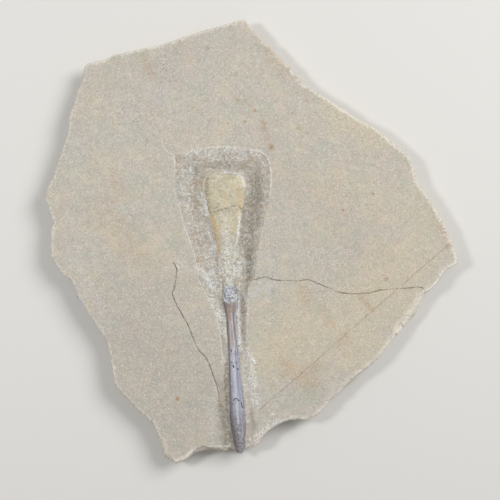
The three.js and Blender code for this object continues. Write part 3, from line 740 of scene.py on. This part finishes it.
cone["strokes"] = {
    "rust": [
        (2.7, .85, .1, (-27.2, 17), (-25.8, 9), (-24.2, 3), (-22.8, -3), (-21.6, -8)),
        (2.6, .35, 0, (-28.8, 21), (-27.4, 14)), (3, .5, 0, (-9, 38), (-8, 31), (-8, 26)),
        (2.5, .5, 0, (-13, 22), (-11.5, 19)), (4, .25, 0, (-22, 35), (-18, 30)),
    ],
    "dark": [
        # painted shade: this first stroke darkens the cone's left side, turned from the light; the rest
        # are dark marks
        (3.4, .75, 0, (-32, 45), (-31.2, 34), (-29.8, 24)), (.6, .9, .3, (-26.6, 44.4), (-26.3, 44.2)),
        (.8, .7, .2, (-15.4, 33.4), (-15.2, 33.2)), (1.7, 1, .1, (-24.5, 23), (-23.2, 25.6)),
        (2, .9, 0, (-15, 21.4), (-13.6, 19.6)), (1.2, .5, 0, (-17, 31), (-14.5, 31.5)),
        (1.4, .7, 0, (-26, 19.2), (-20, 21.4), (-13, 23)), (2.2, .5, 0, (-18, 20), (-13, 21), (-10, 22)),
        (1.2, .5, 0, (-27, 4), (-25.5, -4)), (2.2, .75, 0, (-15, -24.5), (-12.6, -29)),
        (1.1, 1, .2, (-14, -29.4), (-11.4, -31)), (1.2, .6, 0, (-18.5, -22), (-17.8, -26)),
        (.45, .9, .2, (-18, -38.6), (-16, -39.9), (-13.7, -39.4)),
        (.4, .8, .2, (-17.6, -34.4), (-16.6, -35)), (.4, .7, .2, (-14.4, -35.6), (-13.8, -37)),
        (.4, .8, .2, (-18.9, -37), (-17.4, -37.6)),
    ],
    "chalk": [
        (.8, .4, .1, (-23.5, 22.9), (-18, 24.2), (-13.5, 25.6)),
        (1.8, .9, .2, (-8.2, 17), (-8.4, 11), (-9.4, 3), (-10.4, -3)),
        (1.6, .8, .1, (-28.4, 10), (-26.4, 2), (-24.4, -7)), (6, .6, 0, (-18, 16), (-17, 2), (-17.5, -6)),
        (3, .4, 0, (-22, 18), (-14, 21)), (2.4, .8, 0, (-22.6, -10), (-20.6, -20), (-19.4, -26)),
        (2.4, .8, 0, (-11.4, -8), (-11.8, -18), (-12.4, -26)), (1.6, .75, 0, (-20.4, 9), (-19, 4)),
        (1.3, .75, 0, (-21.4, -6.5), (-20.4, -8.5)), (7, .7, .1, (-18, -6), (-17, -18), (-16, -26)),
        (2, .7, 0, (-14, -2), (-15, -10)),
    ],
    "line": [
        (.8, .75, .3, (-33.6, 40), (-32.6, 45.4), (-30, 47.4), (-20, 48)),
        (1, 1, .3, (-11, 47.4), (-6.4, 44.2), (-5, 39)),
    ],
}


def buildCone():
    bm = fineCopy("phragmocone", cone)
    for v in bm.verts:
        wider = blend(*cone["widen"], ramp(cone["widenEnds"], v.co.y)) * ramp(cone["widenFrom"], v.co.y)
        v.co.x += wider * (v.co.x - axisX(v.co.y))
        v.co.y += cone["lengthen"] * ramp(cone["lengthenEnds"], v.co.y)
    bm.normal_update()
    addMasks(bm, "crack", "chalky", "spar", "sparCrack", *cone["strokes"])
    paint(bm, cone["strokes"], lambda v: v.normal.z > 0)
    crack, chalk, chalky, spar, dark, sparCrack = masksOf(
        bm, "crack", "chalk", "chalky", "spar", "dark", "sparCrack")
    crackTree = plainTree(alongPoints(cone["crack"], traceStep))
    crystals = cone["crystals"]
    for v in bm.verts:
        co = v.co
        width = cone["crackWidth"] * (1 + relief(co, *cone["crackWiden"]))
        toCrack = crackTree.find(wandered(co, cone))[2]
        v[crack] = (1 - ramp((cone["crackCore"], width), toCrack)) if v.normal.z > 0 else 0
        lower = ramp(cone["lowerEnds"], co.y - crackTree.find((co.x, co.y, 0))[0].y)
        v[spar] = ramp(cone["plugEnds"], co.y + relief(co, *cone["plugEdge"]))
        v[chalky] = ramp(cone["chalkyEnds"], co.y + relief(co, *cone["chalkyEdge"])) * (1 - v[spar])
        if co.y < cone["plugEnds"][1]:
            v[sparCrack], v[dark] = v[dark], 0
        height, size, seed = cone["dustLumps"]
        rough = relief(co, *cone["lowerPits"]) + relief(co, height * v[chalk], size, seed)
        rough = lower * (rough - cone["lowerStep"])
        nearest, second = noise.voronoi(co / crystals["size"])[0][:2]
        grown = crystals["height"] * v[spar] * (second - nearest - crystals["level"])
        waves = sum(relief(co, *wave) for wave in cone["waves"])
        swell = cone["plugSwell"] * ramp(cone["swellEnds"], co.y)
        v.co += v.normal * (waves + (1 - v[spar]) * rough + swell + grown - cone["crackDepth"] * v[crack])
    finishPiece(bm, "coneCast", "phragmocone", ochreCast())


def ochreCast():
    # Lime mud that filled the chambered cone and set: smooth, tan and ochre above the crack, chalky and
    # pitted below it, and grey sparry calcite where it fills the guard's socket. Its grit is too fine to
    # show, so it is drawn as 0.9 mm.
    material, tree, shader = newStone("lime mud cast, polished by its shell", cone)
    spar = addNode(tree, "Attribute", attribute_name="spar").outputs["Fac"]
    matt = {"Value": spar, "To Min": cone["roughness"], "To Max": cone["sparRoughness"]}
    tree.links.new(addNode(tree, "MapRange", matt).outputs[0], shader.inputs["Roughness"])
    shader.inputs["Specular IOR Level"].default_value = cone["specular"]
    return material


guard = {
    "spacing": 0.5, "smoothing": 3, "axisDepth": 2.9, "flatness": 0.94, "outside": -60, "tipHalf": 1.5,
    # Marks by their place along the guard, and across it as a share of its half width.
    "tipEnds": (-112, -136), "tipWander": (7, 5, 34),
    "stemEnds": (-82, -64), "stemEdge": (0.3, 0.5), "stemFainter": 0.8,
    "headEnds": (-43.2, -41.6), "headEdge": (0.95, 0.7), "headWander": (1.2, 2.5, 35),
    "turnedFrom": (-0.5, 0.45), "turnedEnds": (-116, -138),
    "bandAt": 0.36, "bandEdge": (0.26, 0), "bandStrength": 0.55,
    "crestAt": (0, 0.32), "crestEnds": (-106, -122), "crestEdge": (0.4, 0), "crestFainter": 0.4,
    "dustyHead": (-34, -38), "dustyFoot": (-78, -70), "dustyEdge": (0.78, 1),
    # The groove is filled up and cut again, finer and slanting: angles round the axis, in degrees.
    "grooveEnds": (-43, -86), "grooveHead": (-42, -45), "grooveFoot": (-86, -77),
    "grooveAngle": (67, 40), "grooveArc": (25, 95), "filledArc": (40, 88),
    "grooveWidth": 0.6, "grooveDepth": 0.5, "leastRadius": 0.1,
    "pitDepth": 0.5, "waves": (0.08, 8, 31), "fibreWaves": (0.025, 1, 32), "fibreSize": (1.1, 6, 1.1),
    "brokenTip": (0.5, 1.6, 33), "brokenEnds": (-142, -147.5), "tipWiden": 0.28, "widenEnds": (-136, -148),
    "lip": 0.1, "lipEnds": (-42.4, -41.6), "lipEdge": (0.6, 0.3),
    "headSink": 3.0, "sinkEnds": (-37.4, -33.6),  # the stone covers the socket's brim
    "ior": 1.58, "glossPatch": 1.4286, "glossFrom": (0.35, 0.65), "roughness": (0.28, 0.46),
    "grit": (0.7143, 3.0, 0.5, 0.2, 0.3, alongFossil),
    "baseColour": "#9ea0af",
}
guard["layers"] = [
    ("#a6978d", "grain", 9, 0, .01, 1, "stem"),
    ("#888386", "grain", 9, 0, .01, 1, "tip"),
    # painted highlight: a pale strip along the crest
    ("#c6c9d4", "grain", 4, .1, .5, .6, "crest"),
    ("#b9b9c3", "fibres", 1.2, .5, .66, .55),
    ("#80808a", "fibres", 1, .48, .34, .55),
    ("#b2997f", "grain", 2.6, .5, .66, .6, "stem"),
    ("#645e60", "grain", 1.8, .52, .36, .75, "tip"),
    ("#aca6a8", "grain", 1.7, .53, .66, .75, "tip"),
    ("#6f6c71", "grain", 1.5, .42, .32, .6),
    ("#c9c9d0", "grain", 1.2, .6, .7, .6),
    # painted shade: the flank turned from the light, a band right of the crest, and a shadow under the
    # head's lip
    ("#5e5c63", "grain", 5, .1, .5, .75, "flank"),
    ("#aeb0b4", "cloud", 3, 0, .01, 1, "head"),
    ("#d6d8dc", "grain", 1.3, .5, .6, .8, "head"),
    ("#7b7a7c", "grain", 1.2, .44, .36, .8, "head"),
    ("#a98263", "grain", 1.8, .36, .6, .75, "ochre"),
    # painted shade in the groove
    ("#625a60", "grain", 3, 0, .01, .5, "groove"),
    ("#dcdadd", "grain", 1.3, .32, .56, .8, "pale"),
    # painted shade: the pits are painted near black, as the shade in them
    ("#262325", "grain", 1.6, 0, .01, .95, "pit"),
]
guard["strokes"] = {
    # pits, dented and painted near black as painted shade
    "pit": [
        (.6, .9, .3, (-14.1, -76.4), (-14, -77)), (.9, 1, .4, (-12.8, -87.2), (-12.6, -88)),
        (.5, .9, .3, (-13.9, -84.6), (-13.5, -85)), (.7, .9, .3, (-9.3, -89.2), (-9, -89.9)),
        (.42, 1, .4, (-12.6, -111.2), (-11.6, -110), (-10.4, -109.8), (-9.4, -111), (-8.5, -111.5)),
        (.5, .9, .3, (-7, -112.8), (-6.5, -114.4)), (.5, .9, .3, (-6.5, -115), (-5.6, -116.8)),
        (.45, .7, .3, (-13.8, -113.2), (-13.2, -114)), (.35, .6, .3, (-10.8, -84), (-10.4, -86)),
        (.35, .5, .3, (-15.4, -82), (-15.1, -82.6)), (.3, .5, .3, (-11, -88.6), (-10.8, -89)),
    ],
    "pale": [
        (.5, .7, .2, (-13.7, -42.5), (-13.6, -52), (-13.1, -62), (-12.2, -68), (-11.5, -76)),
        (1.4, .7, 0, (-14.4, -81), (-13.4, -84)), (.5, 1, .4, (-13.9, -99.2), (-13.8, -99.6)),
        (.8, .7, 0, (-13, -86), (-12, -90)), (.6, .8, .2, (-9, -133.6), (-8.6, -134.2)),
        # painted highlight: the broad strokes along the crest below Y -90; the small dabs are pale specks
        (.5, .6, .2, (-10.2, -129), (-9.9, -129.3)), (1.2, .5, 0, (-12.6, -106), (-11.6, -110)),
        (.8, .45, 0, (-12.1, -90), (-11.6, -98), (-10.9, -107)),
        (1.2, .7, 0, (-10.4, -113.5), (-9.2, -127)),
        (.8, .55, .3, (-19.4, -42), (-17.6, -41), (-15, -40.8), (-12.8, -41.6)),
    ],
    "ochre": [
        (1.1, .8, 0, (-14.2, -54), (-13.8, -60)), (1.3, .5, 0, (-15.6, -46), (-14.8, -56)),
        (1, .8, 0, (-14.4, -75.6), (-14.3, -78)), (1.1, .6, 0, (-13.6, -62), (-12.8, -72)),
        (3, .15, 0, (-10, -138), (-8.6, -146)), (1.2, .4, 0, (-9.4, -145), (-7.6, -147)),
    ],
    "flank": [
        # painted shadow under the head's lip, and the dark right wall of the socket
        (2.8, .6, 0, (-17.4, -44.6), (-14.2, -45)), (.9, .7, .2, (-10.9, -38.4), (-10.6, -43)),
    ],
}


def cutGroove(v, groove, half, reach, height):
    angle = math.degrees(math.atan2(height, reach))
    inStem = ramp(guard["grooveHead"], v.co.y) * ramp(guard["grooveFoot"], v.co.y)
    first, last = guard["grooveArc"]
    if inStem > 0 and first < angle < last:
        radius = math.hypot(reach, height)
        first, last = guard["filledArc"]
        filled = max(0, half - radius) if first < angle < last else 0
        wanted = blend(*guard["grooveAngle"], ramp(guard["grooveEnds"], v.co.y))
        off = abs(math.radians(angle - wanted)) * half
        # the groove's mask both cuts it and gives its painted shade
        v[groove] = (1 - ramp((0, guard["grooveWidth"]), off)) * inStem
        v.co += Vector((reach, 0, height)) / max(radius, guard["leastRadius"]) * filled


def buildGuard():
    bm = fineCopy("rostrum", guard)
    bm.normal_update()
    addMasks(bm, "groove", "stem", "tip", "head", "crest", *guard["strokes"])
    paint(bm, guard["strokes"], lambda v: v.normal.z > 0)
    pit, groove, stem, tip, head, flank, crest, pale = masksOf(
        bm, "pit", "groove", "stem", "tip", "head", "flank", "crest", "pale")
    for v in bm.verts:
        co = v.co
        aside = Vector((guard["outside"], co.y, slabTop - guard["axisDepth"]))
        side = fossilTrees["rostrum"].ray_cast(aside, Vector((1, 0, 0)))[0]
        half = axisX(co.y) - side.x if side is not None else guard["tipHalf"]
        reach, height = co.x - axisX(co.y), (co.z - slabTop + guard["axisDepth"]) / guard["flatness"]
        across = reach / half
        wavering = co.y + relief(co, *guard["tipWander"])
        v[tip] = ramp(guard["tipEnds"], wavering)
        lit = 1 - guard["stemFainter"] * ramp(guard["stemEdge"], across)
        v[stem] = ramp(guard["stemEnds"], wavering) * lit
        atHead = ramp(guard["headEnds"], co.y + relief(co, *guard["headWander"]))
        v[head] = atHead * ramp(guard["headEdge"], across)
        turnedFrom = blend(*guard["turnedFrom"], ramp(guard["turnedEnds"], co.y))  # away from the light
        # painted shade: the flank turned from the light and a band right of the crest are darkened
        band = guard["bandStrength"] * ramp(guard["bandEdge"], abs(across - guard["bandAt"]))
        v[flank] = max(v[flank], ramp((turnedFrom, -1), across) + band)
        # painted highlight: a pale strip along the crest
        crestAt = blend(*guard["crestAt"], ramp(guard["crestEnds"], co.y))
        ridge = ramp(guard["crestEdge"], abs(across - crestAt)) * (1 - v[stem])
        v[crest] = ridge * (1 - guard["crestFainter"] * v[tip])
        dusty = ramp(guard["dustyHead"], co.y) * ramp(guard["dustyFoot"], co.y)
        v[pale] = max(v[pale], dusty * ramp(guard["dustyEdge"], across))
        cutGroove(v, groove, half, reach, height)
        drawn = [place / size for place, size in zip(co, guard["fibreSize"])]
        waves = relief(co, *guard["waves"]) + relief(drawn, *guard["fibreWaves"])
        depth, size, seed = guard["brokenTip"]
        broken = relief(co, ramp(guard["brokenEnds"], co.y) * depth, size, seed)
        lip = guard["lip"] * ramp(guard["lipEnds"], co.y) * ramp(guard["lipEdge"], across)
        raised = waves + broken + lip - guard["pitDepth"] * v[pit]
        v.co += v.normal * (raised - guard["grooveDepth"] * v[groove])
        v.co.x += reach * guard["tipWiden"] * ramp(guard["widenEnds"], co.y)
        v.co.z -= guard["headSink"] * ramp(guard["sinkEnds"], co.y)
    finishPiece(bm, "guardCalcite", "rostrum", greyCalcite())


def greyCalcite():
    # Dense fibrous calcite, cleaned and left with its natural skin: slate violet and half glossy, with
    # a pinkish brown stem and a duller, mottled tip. Its fibres are too fine to show, so they are drawn
    # 0.7 mm wide.
    material, tree, shader = newStone("fibrous calcite, natural skin", guard)
    place = addNode(tree, "TexCoord").outputs["Object"]
    shape = {"Vector": place, "Scale": perMetre(guard["glossPatch"]), "Detail": 4.0, "Roughness": 0.7}
    patches = addNode(tree, "TexNoise", shape).outputs["Fac"]
    low, high = guard["glossFrom"]
    glossy, dull = guard["roughness"]
    gloss = {"Value": patches, "From Min": low, "From Max": high, "To Min": glossy, "To Max": dull}
    tree.links.new(addNode(tree, "MapRange", gloss).outputs[0], shader.inputs["Roughness"])
    shader.inputs["IOR"].default_value = guard["ior"]
    return material


buildSlab()
buildCone()
buildGuard()


studio = {
    "viewCentre": (-0.9, -6.1), "viewWidth": 350.0, "viewDistance": 800.0, "sensor": 36.0,
    "floorHalf": 2.0, "floorDrop": 0.0002,  # in m
    "floorColour": "#d8d6d2", "floorRoughness": 0.9, "worldColour": "#ffffff", "worldStrength": 0.36,
    "lights": [  # name, place in m, size in m, power in W, colour
        ("softKey", (0.95, 0.6, 1.05), 0.85, 17.25, "#ffffff"),
        ("topFill", (-0.62, 0.12, 0.82), 0.22, 3.4, "#ffffff"),
    ],
}


def buildFloor(scene):
    bm = bmesh.new()
    bmesh.ops.create_grid(bm, x_segments=1, y_segments=1, size=studio["floorHalf"])
    bmesh.ops.translate(bm, vec=(0, 0, -studio["floorDrop"]), verts=bm.verts)
    mesh = bpy.data.meshes.new("studioFloor")
    bm.to_mesh(mesh)
    bm.free()
    floor = bpy.data.objects.new("studioFloor", mesh)
    scene.collection.objects.link(floor)
    board, _, shader = newMaterial("matt painted board")
    shader.inputs["Base Color"].default_value = linear(studio["floorColour"])
    shader.inputs["Roughness"].default_value = studio["floorRoughness"]
    mesh.materials.append(board)


def buildLights(scene):
    world = bpy.data.worlds.new("studioWorld")
    world.use_nodes = True
    background = world.node_tree.nodes["Background"]
    background.inputs["Color"].default_value = linear(studio["worldColour"])
    background.inputs["Strength"].default_value = studio["worldStrength"]
    scene.world = world
    for name, place, size, power, colour in studio["lights"]:
        light = bpy.data.lights.new(name, "AREA")
        light.shape = "DISK"
        light.size = size
        light.energy = power
        light.color = linear(colour)[:3]
        lamp = bpy.data.objects.new(name, light)
        lamp.location = place
        lamp.rotation_euler = (-Vector(place)).to_track_quat("-Z", "Y").to_euler()
        scene.collection.objects.link(lamp)


def buildCamera(scene):
    camera = bpy.data.cameras.new("studioCamera")
    camera.sensor_width = studio["sensor"]
    camera.lens = studio["sensor"] * studio["viewDistance"] / studio["viewWidth"]
    holder = bpy.data.objects.new("studioCamera", camera)
    x, y = studio["viewCentre"]
    holder.location = Vector((x, y, slabTop + studio["viewDistance"])) * millimetre
    scene.collection.objects.link(holder)
    scene.camera = holder


bpy.context.scene.view_settings.view_transform = "Standard"
buildFloor(bpy.context.scene)
buildLights(bpy.context.scene)
buildCamera(bpy.context.scene)
print("studio ready")
